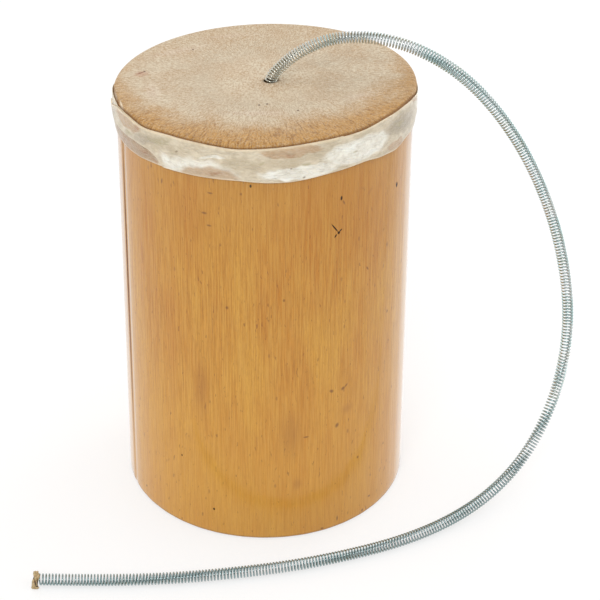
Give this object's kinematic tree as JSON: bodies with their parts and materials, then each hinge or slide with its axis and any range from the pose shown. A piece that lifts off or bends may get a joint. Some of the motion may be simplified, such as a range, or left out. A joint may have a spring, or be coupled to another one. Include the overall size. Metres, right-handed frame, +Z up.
{
  "type": "spring drum",
  "caption": "Bamboo tube drum with a glued goatskin head, a rawhide rim strip and a long coil spring hung from the skin, which rumbles when the drum is shaken.",
  "frame": {"origin": "centre of the tube's base, where the drum stands", "axes": "+Z up along the tube's axis, +X to the right of someone who faces the side where the spring's tail lies, +Y away from them"},
  "size_m": [0.1861, 0.1288, 0.1689],
  "materials": {
    "bamboo": "honey-coloured bamboo under clear lacquer",
    "skin": "scraped goatskin, matt, beige turning tan at the rim",
    "rawhide": "pale translucent rawhide, semi-gloss",
    "washer": "thick tanned hide, matt",
    "zinc": "bright zinc plate with a slight blue tint",
    "peg": "raw split bamboo",
    "scrap": "thin brown hide, folded"
  },
  "bodies": {
    "drum": {"bamboo_tube": "bamboo", "skin_head": "skin", "rim_band": "rawhide"},
    "swivel": {"stop_washer": "washer"},
    "spring": {"coil_spring": "zinc", "stop_peg": "peg", "hide_tip": "scrap"}
  },
  "joints": [
    {"name": "spring_turn", "type": "hinge", "parent": "drum", "child": "swivel", "pos_m": [0.0018, -0.0015, 0.15134], "axis": [0, 0, 1], "continuous": true},
    {"name": "spring_lift", "type": "hinge", "parent": "swivel", "child": "spring", "pos_m": [0.0018, -0.0015, 0.15134], "axis": [-1, 0, 0], "range_deg": [0, 12]}
  ]
}
